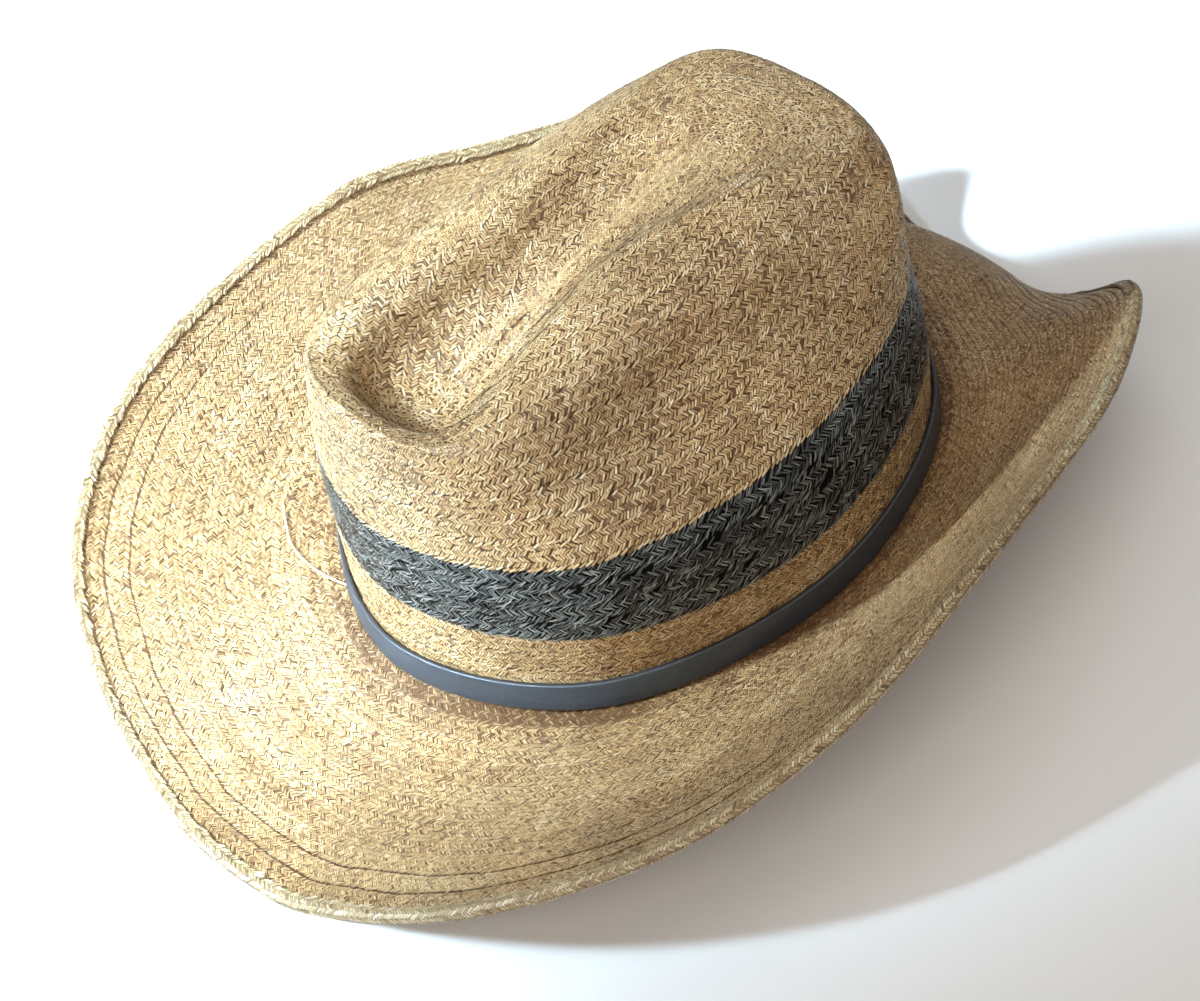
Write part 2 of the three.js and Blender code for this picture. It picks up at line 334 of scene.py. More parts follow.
def lay_straws(grid, rows, weave, side, rng):
    """Centres, directions and tones of the straws that show on one face of a sewn sheet.

    Each row is a herringbone: columns of parallel straws that lean one way and then the other, every
    end tucked under the next column. A few longer strands run along the row's lower edge.
    side is 1 for the outer face and -1 for the inner one, which lies a wall's thickness below.
    """
    around, up, out = sheet_frames(grid)
    columns, lap, seam = weave["columns"], weave["lap"], weave["seam"]
    turns = np.arange(AROUND, dtype=float)
    widths = np.linalg.norm(np.diff(grid, axis=0), axis=2).reshape(rows, PER_ROW, AROUND).sum(1)
    levels = [seam + (1 - seam) * (column + 0.5) / columns for column in range(columns)]
    if side > 0:
        levels.append(weave["selvedge_at"])
    batches = []
    for row in range(rows):
        girth = loop_steps(sample(grid, np.full(AROUND, (row + 0.5) * PER_ROW), turns)).sum()
        count = max(FEWEST_STRAWS, int(round(girth / weave["cell"])))
        strands = row_strands(count, weave["row_tone"][row], rng)
        opening = weave["open_seam"] if row in weave["open_rows"] else 0.0
        for column, level in enumerate(levels):
            if column < columns:
                line = herringbone_line(column, strands, weave, rng)
            else:
                threaded = row in weave["thread_rows"]
                line = selvedge_line(int(girth / weave["selvedge_pitch"]), threaded, strands, weave, rng)
            share, tone, angle, length, breadth, lift = line
            n = len(share)
            ring = sample(grid, np.full(AROUND, (row + level) * PER_ROW), turns)
            run = np.concatenate([[0], np.cumsum(loop_steps(ring))])
            a = np.interp(share * run[-1], run, np.arange(AROUND + 1))
            wide = widths[row, a.astype(int) % AROUND] / weave["row_width"]
            pitch = run[-1] / count / weave["cell"]
            parts = np.stack([np.cos(angle) * pitch, np.sin(angle) * wide], 1)
            grown = np.linalg.norm(parts, axis=1)
            opened = opening * toward_front(share)
            f = level + opened * (1 - level) + rng.normal(0, weave["jitter"] / 3, n)
            shown = (column < columns) | (opened <= OPEN_EDGE)
            batches.append((a, np.full(n, float(row)), f, tone, parts[:, 0], parts[:, 1], length * grown,
                            breadth * pitch * wide / grown, lift, share * girth, shown))
    laid = [np.concatenate(part) for part in zip(*batches)]
    a, row, f, tone, go, climb, length, breadth, lift, run, keep = laid
    for _ in range(weave["holes"]):
        dx = run - rng.random() * run.max()
        dy = (row + f - rng.integers(1, rows) - rng.normal(0, HOLE_STRAY)) * weave["row_width"]
        along = np.abs(dx * go + dy * climb) / np.hypot(go, climb) - length * weave["straw"] / 2
        clear = np.abs(dx * climb - dy * go) / np.hypot(go, climb)
        keep &= ~((clear < weave["hole_reach"]) & (along < HOLE_END))
    a, row, f, tone, go, climb, length, breadth, lift = (part[keep] for part in laid[:-2])
    n = len(a)
    b = np.clip((row + f) * PER_ROW, 0, grid.shape[0] - 1)
    t, u, o = sample(around, b, a), sample(up, b, a), unit(sample(out, b, a))
    height = lap * (0.5 - f) + lift * side - weave["thick"] * (side < 0)
    across = t * -climb[:, None] + u * go[:, None]
    tilt = across * rng.normal(0, STRAW_ROLL, (n, 1))
    normal = unit((o + u * (lap / weave["row_width"])) * side + tilt)
    along = t * go[:, None] + u * climb[:, None]
    along = unit(along - normal * (along * normal).sum(1, keepdims=True))
    length = length * rng.normal(1, LENGTH_SPREAD, n)
    breadth = breadth * rng.normal(1, BREADTH_SPREAD, n)
    stretch = np.stack([length, breadth, np.ones(n)], 1) * weave["grow"]
    tone = np.clip(tone + rng.normal(0, weave["tone_spread"], n), DARKEST, 1.0)
    place = sample(grid, b, a) + o * height[:, None]
    return {"place": place * MM, "along": along, "out": normal, "stretch": stretch, "tone": tone}


STRAW_SINK = 0.3
SPINE_SINKS = [0.45, 0.75, 0.95]
WALL_STEP = 4
WALL_LINES = (0, 3, 5, 8)


def sewn_wall(grid, rows, lap, thick, looped, edge=None):
    """Closed stepped wall under the straws: rings down its inside, then up its outside."""
    _, _, out = sheet_frames(grid)
    places = [(row * PER_ROW + b, 0.5 - b / PER_ROW) for row in range(rows) for b in WALL_LINES]
    sinks = [STRAW_SINK] * len(places)
    if not looped:
        out[-1] = out[-2]
        out[-1, :, 0] = 0
        out = unit(out)
        sinks[-len(SPINE_SINKS):] = SPINE_SINKS

    def ring(b, h, depth):
        return (grid[b] + out[b] * (lap * h - depth))[::WALL_STEP]

    outside = [ring(b, h, sink) for (b, h), sink in zip(places, sinks)]
    inside = [ring(b, h, thick - STRAW_SINK) for b, h in places]
    if edge is not None:
        outside.insert(0, edge[0][::WALL_STEP])
        inside.insert(0, edge[1][::WALL_STEP])
    return np.array(inside[::-1] + outside) * MM


def wall_faces(rings, looped):
    """Quads between neighbouring rings, and where each corner lies round the rings and across them."""
    count, n = rings.shape[:2]
    bands = count if looped else count - 1
    r, i = np.meshgrid(np.arange(bands), np.arange(n), indexing="ij")
    j = (i + 1) % n
    after = (r + 1) % count
    faces = np.stack([r * n + i, r * n + j, after * n + j, after * n + i], -1).reshape(-1, 4)
    turn = np.stack([i, i + 1, i + 1, i], -1).reshape(-1, 4) / n
    across = np.stack([r, r, r + 1, r + 1], -1).reshape(-1, 4) / bands
    return faces, np.stack([turn, across], -1)


def weld_wall(rings, looped):
    """Points, faces and map corners of a wall; rings that close to a line are welded along it."""
    faces, spots = wall_faces(rings, looped)
    points = rings.reshape(-1, 3)
    if not looped:
        _, first, back = np.unique(np.round(points, 6), axis=0, return_index=True, return_inverse=True)
        points = points[first]
        faces = back.reshape(-1)[faces]
        whole = np.array([len(set(face)) > 2 for face in faces.tolist()])
        faces, spots = faces[whole], spots[whole]
    corners = [[c for c in range(4) if face[c] != face[c - 1]] for face in faces.tolist()]
    welded = [[face[c] for c in kept] for face, kept in zip(faces.tolist(), corners)]
    welded_spots = np.array([spot[c] for spot, kept in zip(spots.tolist(), corners) for c in kept])
    return points, welded, welded_spots


BARE_WALL, OUTER_STRAW, INNER_STRAW = 0, 1, 2
BENT_STATIONS = 3
FLAT_STATIONS = 2


def straw_tree():
    """Sets one flat straw on every marked point: a narrow strip that dips at both ends."""
    tree = bpy.data.node_groups.new("plait_straws", "GeometryNodeTree")
    face = tree.interface
    face.new_socket("Geometry", in_out="INPUT", socket_type="NodeSocketGeometry")
    for name, value in (("Straw length", 0.0029), ("Straw width", 0.0008), ("Straw tuck", 0.00024)):
        socket = face.new_socket(name, in_out="INPUT", socket_type="NodeSocketFloat")
        socket.default_value = value
    face.new_socket("Finish", in_out="INPUT", socket_type="NodeSocketMaterial")
    face.new_socket("Geometry", in_out="OUTPUT", socket_type="NodeSocketGeometry")
    nodes, link = tree.nodes, tree.links.new
    start = nodes.new("NodeGroupInput")
    end = nodes.new("NodeGroupOutput")

    def named(name, kind):
        node = nodes.new("GeometryNodeInputNamedAttribute")
        node.data_type = kind
        node.inputs["Name"].default_value = name
        return node.outputs["Attribute"]

    def math(operation, a, b):
        node = nodes.new("ShaderNodeMath")
        node.operation = operation
        for socket, value in zip(node.inputs, (a, b)):
            if isinstance(value, (int, float)):
                socket.default_value = value
            else:
                link(value, socket)
        return node.outputs[0]

    kind = named("kind", "FLOAT")
    turn = nodes.new("FunctionNodeAxesToRotation")
    turn.primary_axis = "X"
    turn.secondary_axis = "Z"
    link(named("along", "FLOAT_VECTOR"), turn.inputs["Primary Axis"])
    link(named("out", "FLOAT_VECTOR"), turn.inputs["Secondary Axis"])
    join = nodes.new("GeometryNodeJoinGeometry")

    def chosen(wanted):
        node = nodes.new("GeometryNodeSeparateGeometry")
        node.domain = "POINT"
        link(start.outputs["Geometry"], node.inputs["Geometry"])
        above = math("GREATER_THAN", kind, wanted - 0.5)
        below = math("LESS_THAN", kind, wanted + 0.5)
        link(math("MULTIPLY", above, below), node.inputs["Selection"])
        return node.outputs["Selection"]

    def straws(points, stations):
        blade = nodes.new("GeometryNodeMeshGrid")
        blade.inputs["Vertices X"].default_value = stations
        blade.inputs["Vertices Y"].default_value = 2
        link(start.outputs["Straw length"], blade.inputs["Size X"])
        link(start.outputs["Straw width"], blade.inputs["Size Y"])
        spot = nodes.new("GeometryNodeInputPosition")
        parts = nodes.new("ShaderNodeSeparateXYZ")
        link(spot.outputs[0], parts.inputs[0])
        x = math("DIVIDE", math("MULTIPLY", parts.outputs["X"], 2.0), start.outputs["Straw length"])
        y = math("DIVIDE", math("MULTIPLY", parts.outputs["Y"], 2.0), start.outputs["Straw width"])
        fibre = nodes.new("ShaderNodeCombineXYZ")
        link(x, fibre.inputs["X"])
        link(y, fibre.inputs["Y"])
        keep = nodes.new("GeometryNodeStoreNamedAttribute")
        keep.data_type = "FLOAT_VECTOR"
        keep.domain = "POINT"
        keep.inputs["Name"].default_value = "fibre"
        link(blade.outputs["Mesh"], keep.inputs["Geometry"])
        link(fibre.outputs[0], keep.inputs["Value"])
        ends = math("MULTIPLY", math("POWER", math("ABSOLUTE", x, 0.0), 4.0), start.outputs["Straw tuck"])
        lift = nodes.new("ShaderNodeCombineXYZ")
        link(math("MULTIPLY", ends, 0.0 if stations == FLAT_STATIONS else -1.0), lift.inputs["Z"])
        bend = nodes.new("GeometryNodeSetPosition")
        link(keep.outputs["Geometry"], bend.inputs["Geometry"])
        link(lift.outputs[0], bend.inputs["Offset"])
        plant = nodes.new("GeometryNodeInstanceOnPoints")
        link(points, plant.inputs["Points"])
        link(bend.outputs["Geometry"], plant.inputs["Instance"])
        link(turn.outputs["Rotation"], plant.inputs["Rotation"])
        link(named("stretch", "FLOAT_VECTOR"), plant.inputs["Scale"])
        real = nodes.new("GeometryNodeRealizeInstances")
        link(plant.outputs["Instances"], real.inputs["Geometry"])
        link(real.outputs["Geometry"], join.inputs["Geometry"])

    link(chosen(BARE_WALL), join.inputs["Geometry"])
    straws(chosen(OUTER_STRAW), BENT_STATIONS)
    straws(chosen(INNER_STRAW), FLAT_STATIONS)
    smooth = nodes.new("GeometryNodeSetShadeSmooth")
    paint = nodes.new("GeometryNodeSetMaterial")
    link(join.outputs["Geometry"], smooth.inputs["Geometry"])
    link(smooth.outputs["Geometry"], paint.inputs["Geometry"])
    link(start.outputs["Finish"], paint.inputs["Material"])
    link(paint.outputs["Geometry"], end.inputs["Geometry"])
    return tree


STRAW_TREE = straw_tree()


def set_input(modifier, name, value):
    for item in modifier.node_group.interface.items_tree:
        if item.item_type == "SOCKET" and item.in_out == "INPUT" and item.name == name:
            modifier[item.identifier] = value


def mark_points(mesh, marks):
    """Stores numbers or directions on a mesh's points under the given names."""
    for mark, (kind, values) in marks.items():
        layer = mesh.attributes.new(mark, kind, "POINT")
        field = "value" if kind == "FLOAT" else "vector"
        layer.data.foreach_set(field, np.asarray(values, np.float32).reshape(-1))


def read_points(mesh, mark, field, width):
    values = np.zeros(len(mesh.vertices) * width, np.float32)
    mesh.attributes[mark].data.foreach_get(field, values)
    return values.reshape(-1, width)


WALL_SHARE = 0.2
MAP_MARGIN = 0.005
CELL_REACH = 0.42


def plaited_piece(name, rings, looped, straws, sizes, finish, wall_shade_tone):
    """One mesh: the closed wall and every straw on it, each straw with its own place on the bake map."""
    wall_points, wall, wall_uv = weld_wall(rings, looped)
    wall_uv[:, 0] = MAP_MARGIN + (1 - 2 * MAP_MARGIN) * wall_uv[:, 0]
    wall_uv[:, 1] = MAP_MARGIN + (WALL_SHARE - 2 * MAP_MARGIN) * wall_uv[:, 1]
    mesh = bpy.data.meshes.new(name)
    mesh.from_pydata(np.concatenate([wall_points] + [s["place"] for s in straws]).tolist(), [], wall)
    mesh.uv_layers.new(name="OFBake").data.foreach_set("uv", wall_uv.reshape(-1))
    bare = len(wall_points)
    counts = [len(s["place"]) for s in straws]
    total = sum(counts)
    per_line = int(np.ceil(np.sqrt(total / (1 - WALL_SHARE))))
    cell = 1.0 / per_line
    order = np.arange(total)
    cells = np.stack([(order % per_line) * cell, WALL_SHARE + (order // per_line) * cell, np.zeros(total)], 1)
    kinds = np.repeat([BARE_WALL, OUTER_STRAW, INNER_STRAW][:len(counts) + 1], [bare] + counts)

    def with_wall(wall_values, mark):
        return np.concatenate([wall_values] + [s[mark] for s in straws])

    # The wall's tone is painted shade: the bare wall shows only in the gaps between straws and is coloured
    # dark there.
    mark_points(mesh, {
        "kind": ("FLOAT", kinds),
        "tone": ("FLOAT", with_wall(np.resize(wall_shade_tone, bare), "tone")),
        "along": ("FLOAT_VECTOR", with_wall(np.zeros((bare, 3)), "along")),
        "out": ("FLOAT_VECTOR", with_wall(np.zeros((bare, 3)), "out")),
        "stretch": ("FLOAT_VECTOR", with_wall(np.ones((bare, 3)), "stretch")),
        "cell": ("FLOAT_VECTOR", np.concatenate([np.zeros((bare, 3)), cells])),
    })
    base = placed(name + "_base", mesh)
    modifier = base.modifiers.new("straws", "NODES")
    modifier.node_group = STRAW_TREE
    for label, value in sizes.items():
        set_input(modifier, label, value * MM)
    set_input(modifier, "Finish", finish)
    graph = bpy.context.evaluated_depsgraph_get()
    done = bpy.data.meshes.new_from_object(
        base.evaluated_get(graph), preserve_all_data_layers=True, depsgraph=graph)
    bpy.data.objects.remove(base)
    done.name = name
    corner = np.zeros(len(done.loops), np.int32)
    done.loops.foreach_get("vertex_index", corner)
    bake = np.zeros(len(done.loops) * 2, np.float32)
    done.uv_layers["OFBake"].data.foreach_get("uv", bake)
    bake = bake.reshape(-1, 2)
    on_straw = read_points(done, "kind", "value", 1)[corner, 0] > OUTER_STRAW - 0.5
    local = read_points(done, "fibre", "vector", 3)[corner, :2] * CELL_REACH + 0.5
    spot = read_points(done, "cell", "vector", 3)[corner, :2]
    bake[on_straw] = (spot + local * cell)[on_straw]
    done.uv_layers["OFBake"].data.foreach_set("uv", bake.reshape(-1))
    for mark in ("kind", "along", "out", "stretch", "cell"):
        done.attributes.remove(done.attributes[mark])
    return placed(name, done)


def ranged(tree, source, span, to):
    """Maps a node's value from one range to another."""
    node = tree.nodes.new("ShaderNodeMapRange")
    for label, value in zip(("From Min", "From Max", "To Min", "To Max"), (*span, *to)):
        node.inputs[label].default_value = value
    tree.links.new(source, node.inputs["Value"])
    return node.outputs[0]


FIBRE_SEED = 171.3
FIBRE_DRAW = 0.22
FIBRE_SCALE = 3.2
WEATHER_SCALE = 26.0
NOISE_SPAN = (0.3, 0.7)
FIBRE_LIGHT = (0.74, 1.24)
WEATHER_LIGHT = (0.82, 1.12)
SIDE_SPAN = (0.2, 0.95)
END_SPAN = (0.48, 0.82)
TUCKED_SHADE = (1.0, 0.15)
GAP_SPAN = (0.06, 0.12)
GAP_GLOSS = 0.05
STRAW_NAP = 0.45
FIBRE_RELIEF = 0.0002


def straw_finish(name, stops, bump, roughness, specular, sheen):
    """Palm straw: a colour for each strand, fine fibres along it, painted shade at each straw's sides and
    ends, and broad weathering.
    """
    finish = bpy.data.materials.new(name)
    finish.use_nodes = True
    tree = finish.node_tree
    nodes, link = tree.nodes, tree.links.new
    shader = nodes["Principled BSDF"]

    def times(a, b):
        node = nodes.new("ShaderNodeMath")
        node.operation = "MULTIPLY"
        for socket, value in zip(node.inputs, (a, b)):
            if isinstance(value, float):
                socket.default_value = value
            else:
                link(value, socket)
        return node.outputs[0]

    tone = nodes.new("ShaderNodeAttribute")
    tone.attribute_name = "tone"
    ramp = nodes.new("ShaderNodeValToRGB")
    while len(ramp.color_ramp.elements) < len(stops):
        ramp.color_ramp.elements.new(0.5)
    for element, (at, colour) in zip(ramp.color_ramp.elements, stops):
        element.position = at
        element.color = (*colour, 1)
    link(tone.outputs["Fac"], ramp.inputs["Fac"])
    fibre = nodes.new("ShaderNodeAttribute")
    fibre.attribute_name = "fibre"
    parts = nodes.new("ShaderNodeSeparateXYZ")
    link(fibre.outputs["Vector"], parts.inputs[0])
    grain = nodes.new("ShaderNodeCombineXYZ")
    link(times(parts.outputs["X"], FIBRE_DRAW), grain.inputs["X"])
    link(parts.outputs["Y"], grain.inputs["Y"])
    link(times(tone.outputs["Fac"], FIBRE_SEED), grain.inputs["Z"])
    streak = nodes.new("ShaderNodeTexNoise")
    streak.inputs["Scale"].default_value = FIBRE_SCALE
    streak.inputs["Detail"].default_value = 3.0
    link(grain.outputs[0], streak.inputs["Vector"])
    spot = nodes.new("ShaderNodeTexCoord")
    weather = nodes.new("ShaderNodeTexNoise")
    weather.inputs["Scale"].default_value = WEATHER_SCALE
    weather.inputs["Detail"].default_value = 4.0
    link(spot.outputs["Object"], weather.inputs["Vector"])
    # Painted shade: each straw is darkened towards the ramp's first colour at its sides and ends, where shade
    # falls between straws.
    sides = ranged(tree, times(parts.outputs["Y"], parts.outputs["Y"]), SIDE_SPAN, TUCKED_SHADE)
    ends = ranged(tree, times(parts.outputs["X"], parts.outputs["X"]), END_SPAN, TUCKED_SHADE)
    light = times(ranged(tree, streak.outputs["Fac"], NOISE_SPAN, FIBRE_LIGHT),
                  ranged(tree, weather.outputs["Fac"], NOISE_SPAN, WEATHER_LIGHT))
    gap_shade = nodes.new("ShaderNodeMix")
    gap_shade.data_type = "RGBA"
    gap_shade.inputs[6].default_value = (*stops[0][1], 1)
    link(times(sides, ends), gap_shade.inputs["Factor"])
    link(ramp.outputs["Color"], gap_shade.inputs[7])
    colour = nodes.new("ShaderNodeVectorMath")
    colour.operation = "SCALE"
    link(gap_shade.outputs[2], colour.inputs[0])
    link(light, colour.inputs["Scale"])
    link(colour.outputs[0], shader.inputs["Base Color"])
    link(ranged(tree, streak.outputs["Fac"], NOISE_SPAN, roughness), shader.inputs["Roughness"])
    gloss = ranged(tree, tone.outputs["Fac"], GAP_SPAN, (GAP_GLOSS, specular))
    link(gloss, shader.inputs["Specular IOR Level"])
    shader.inputs["Sheen Weight"].default_value = sheen
    shader.inputs["Sheen Roughness"].default_value = STRAW_NAP
    relief = nodes.new("ShaderNodeBump")
    relief.inputs["Strength"].default_value = bump
    relief.inputs["Distance"].default_value = FIBRE_RELIEF
    link(streak.outputs["Fac"], relief.inputs["Height"])
    link(relief.outputs["Normal"], shader.inputs["Normal"])
    return finish


# The ramp's two lowest stops, below any straw's tone, are painted shade: the dark of the bare wall in the
# gaps and of each straw's sides and ends.
NATURAL_STRAW = straw_finish(
    "natural_straw",
    [(0.0, (0.085, 0.04, 0.015)), (0.07, (0.085, 0.04, 0.015)), (0.09, (0.17, 0.083, 0.029)),
     (0.3, (0.42, 0.242, 0.095)), (0.52, (0.62, 0.402, 0.178)), (0.75, (0.76, 0.565, 0.31)),
     (1.0, (0.87, 0.745, 0.52))],
    bump=0.35, roughness=(0.4, 0.58), specular=0.8, sheen=0.06)

STRAW_WALL = 2.0
GAP = 0.15
CROWN_WANDER = 0.05
# Painted shade: the dark tone of the bare wall that shows in the gaps between the crown's straws.
CROWN_GAP_SHADE = 0.08
CROWN_WEAVE = {
    "columns": 4, "cell": 1.0, "grow": 1.0, "lap": 0.18, "thick": STRAW_WALL, "row_width": 6.8,
    "angle": 45, "stray": 4.0, "jitter": 0.06, "tone_spread": 0.09, "row_tone": [0.0] * 14,
    "seam": 0.12, "selvedge_at": 0.05, "selvedge_pitch": 1.75, "selvedge_angle": 22,
    "selvedge_tone": 0.06, "selvedge_breadth": 0.95, "thread_rows": (), "open_rows": (),
    "open_seam": 0.09, "holes": 0, "hole_reach": 0.0, "straw": 0.0}
INSIDE_WEAVE = {"columns": 3, "cell": 1.5, "grow": 1.33, "seam": 0.0}
STRAW_SIZES = {"Straw length": 2.3, "Straw width": 0.66, "Straw tuck": 0.2}
SPINE_PITCH = 0.4
SPINE_LIFT = 0.1


def both_faces(grid, rows, weave, rng):
    outer = lay_straws(grid, rows, weave, 1, rng)
    inner = lay_straws(grid, rows, {**weave, **INSIDE_WEAVE}, -1, rng)
    return [outer, inner]


def spine_straws(grid, rng):
    """Straws crossed along the spine, where the last row closes on itself."""
    line = grid[-1, :AROUND // 2 + 1]
    run = np.concatenate([[0], np.cumsum(np.linalg.norm(np.diff(line, axis=0), axis=1))])
    n = int(run[-1] / SPINE_PITCH)
    at = (np.arange(n) + 0.5) / n * run[-1]
    place = np.stack([np.interp(at, run, line[:, axis]) for axis in range(3)], 1)
    ahead = unit(np.gradient(place, axis=0))
    out = unit(np.cross((1.0, 0.0, 0.0), ahead))
    across = np.cross(out, ahead) * np.where(np.arange(n) % 2, 1, -1)[:, None]
    return {"place": (place + out * SPINE_LIFT) * MM, "along": unit(ahead + across), "out": out,
            "stretch": np.ones((n, 3)), "tone": rng.beta(TONE_SHAPE, TONE_SHAPE, n)}


def crown_piece(name, low, high, rows, looped, weave, sizes, finish, gap_shade, seed):
    """Sewn rows of the crown between two climbs; a piece that isn't looped closes along the spine."""
    rng = np.random.default_rng(seed)
    climbs = np.linspace(low, high, MERIDIAN_STEPS)[:, None].repeat(AROUND, 1)
    grid = sew_rows(crown_points(TURNS, climbs), rows, CROWN_WANDER, rng)
    straws = both_faces(grid, rows, weave, rng)
    if not looped:
        spine = spine_straws(grid, rng)
        straws[0] = {mark: np.concatenate([straws[0][mark], spine[mark]]) for mark in spine}
    rings = sewn_wall(grid, rows, weave["lap"], weave["thick"], looped)
    return plaited_piece(name, rings, looped, straws, sizes, finish, gap_shade)


crown_top = crown_piece(
    "crown_top_plait", CLIMB_TO["stripe_high"] + GAP, CLIMB_TO["spine"], rows=14, looped=False,
    weave=CROWN_WEAVE, sizes=STRAW_SIZES, finish=NATURAL_STRAW, gap_shade=CROWN_GAP_SHADE, seed=11)
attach(crown_top, "root")
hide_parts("crown_top")

# Stripe: four rows of the same plait dyed black, sewn in flush with the rows above and below.
# It is braided looser, so the straws lie a little flatter and small holes show along the seams.
# The two lowest stops are painted shade for the wall in the gaps and for the straws' sides and ends. The pale
# grey stops at the top are partly straws that took less dye and partly painted glints of the glossy strands.
DYED_STRAW = straw_finish(
    "dyed_straw",
    [(0.0, (0.004, 0.004, 0.004)), (0.07, (0.004, 0.004, 0.004)), (0.09, (0.008, 0.009, 0.009)),
     (0.35, (0.026, 0.031, 0.033)), (0.55, (0.09, 0.104, 0.108)), (0.75, (0.2, 0.22, 0.215)),
     (1.0, (0.36, 0.37, 0.33))],
    bump=0.4, roughness=(0.25, 0.42), specular=1.0, sheen=0.0)
# The wide tone spread brings more straws up to the pale grey stops, which are partly painted glints.
STRIPE_WEAVE = {
    **CROWN_WEAVE, "columns": 3, "cell": 0.88, "angle": 40, "stray": 7.0, "jitter": 0.14,
    "selvedge_at": 0.06, "tone_spread": 0.24, "holes": 110, "hole_reach": 0.7, "straw": 3.1}
STRIPE_SIZES = {"Straw length": 3.4, "Straw width": 0.44, "Straw tuck": 0.22}
# Painted shade: the bare wall in the stripe's gaps and holes is black.
STRIPE_GAP_SHADE = 0.0
crown_stripe = crown_piece(
    "crown_stripe_plait", CLIMB_TO["stripe_low"] + GAP, CLIMB_TO["stripe_high"] - GAP, rows=4, looped=True,
    weave=STRIPE_WEAVE, sizes=STRIPE_SIZES, finish=DYED_STRAW, gap_shade=STRIPE_GAP_SHADE, seed=12)
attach(crown_stripe, "root")
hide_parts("crown_stripe")

# Lower crown: four natural rows of the same plait under the stripe, sewn on in one spiral with it.
# They run down behind the leather band and end at the break, where the brim turns out.
BREAK_GAP = 0.3
crown_base = crown_piece(
    "crown_base_plait", BREAK_GAP, CLIMB_TO["stripe_low"] - GAP, rows=4, looped=True,
    weave=CROWN_WEAVE, sizes=STRAW_SIZES, finish=NATURAL_STRAW, gap_shade=CROWN_GAP_SHADE, seed=13)
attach(crown_base, "root")
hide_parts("crown_base")

# Brim: the same natural plait, sewn on round the foot of the crown and pressed to rise at both
# sides and to dip at front and back. It is made here in an inner and an outer set of rows.
# angle from the front | reach edge_z knee_z knee_at
BRIM_ROWS = np.array([
    (0, 81, 3.3, 3.3, 0.5), (10, 81.5, 3.3, 3.3, 0.5), (20, 85, 14.5, 9, 0.5), (32, 87.5, 29, 15, 0.5),
    (50, 82, 46.5, 24, 0.5), (70, 69, 60, 32, 0.5), (90, 56, 71, 36, 0.5), (110, 50, 66, 40, 0.5),
    (130, 56, 62, 41.5, 0.5), (147, 66.4, 58.4, 42.7, 0.525), (161, 66, 27.3, 38.4, 0.565),
    (173, 65.5, 2.143, 42, 0.72), (180, 65.5, 2.143, 42, 0.72)], float)
NUDGE = 1e-4


def brim_profile(turns):
    """Break, knee and edge of the brim's bent profile at each turn, in millimetres."""
    level = np.zeros((1, len(turns)))
    foot = crown_points(turns, level)[0]
    along = (crown_points(turns + NUDGE, level) - crown_points(turns - NUDGE, level))[0]
    out = unit(np.stack([along[:, 1], -along[:, 0], 0 * along[:, 0]], 1))
    angle = 360 * np.minimum(turns % 1.0, 1 - turns % 1.0)
    table = BRIM_ROWS[:, None, 1:].repeat(len(turns), 1)
    reach, edge_z, knee_z, knee_at = through_rows(BRIM_ROWS[:, 0], table, angle[None])[0].T
    edge = foot + out * reach[:, None]
    knee = foot + out * (reach * knee_at)[:, None]
    edge[:, 2] = edge_z
    knee[:, 2] = knee_z
    return foot, knee, edge


def bent(profile, share):
    """Points at a share of the way along a bent profile, from the break to the edge."""
    foot, knee, edge = profile
    s = share[..., None]
    return (1 - s) ** 2 * foot + 2 * s * (1 - s) * knee + s * s * edge


BRIM_PROFILE = brim_profile(TURNS)
EDGE_LINE = BRIM_PROFILE[2]
EDGE_REACH = EDGE_LINE - BRIM_PROFILE[1]
EDGE_OUT = unit(EDGE_REACH)
EDGE_UP = unit(np.cross(EDGE_OUT, np.roll(EDGE_LINE, -1, 0) - np.roll(EDGE_LINE, 1, 0)))


def short_of_edge(width):
    """Share of the profile that ends a width before the edge."""
    return 1 - width / (2 * np.linalg.norm(EDGE_REACH, axis=1))


TUCKED = 2.3
BRIM_INNER, BRIM_OUTER = 6, 5
BRIM_WANDER = 0.03
brim_rng = np.random.default_rng(14)
brim_shares = np.linspace(0, 1, MERIDIAN_STEPS)[::-1, None] * short_of_edge(TUCKED)[None]
brim_grid = sew_rows(bent(BRIM_PROFILE, brim_shares), BRIM_INNER + BRIM_OUTER, BRIM_WANDER, brim_rng)
BRIM_WEAVE = {
    **CROWN_WEAVE, "columns": 5, "cell": 0.75, "lap": 0.1, "seam": 0.0, "selvedge_at": 0.02,
    "selvedge_pitch": 3.6, "selvedge_angle": 9, "selvedge_tone": 0.0, "selvedge_breadth": 0.7}
# Painted shade: every brim row is a little darker than the crown's straw. The three rows nearest the band are
# darker still, with painted shade in the corner under the band and some stain there as well.
BRIM_SHADE_AND_STAIN_TONES = [-0.05] * 8 + [-0.08, -0.16, -0.36]
BRIM_SIZES = {"Straw length": 2.1, "Straw width": 0.5, "Straw tuck": 0.18}
# Painted shade: the bare wall in the brim's gaps is dark brown, darkest at the front, where the open seams
# show as shaded lines.
BRIM_GAP_SHADE_TONE = 0.22
BRIM_GAP_SHADE = BRIM_GAP_SHADE_TONE * (1 - toward_front(TURNS[::WALL_STEP]))
THREADED = (8, 9, 10)
OPENED = (0, 1, 2)


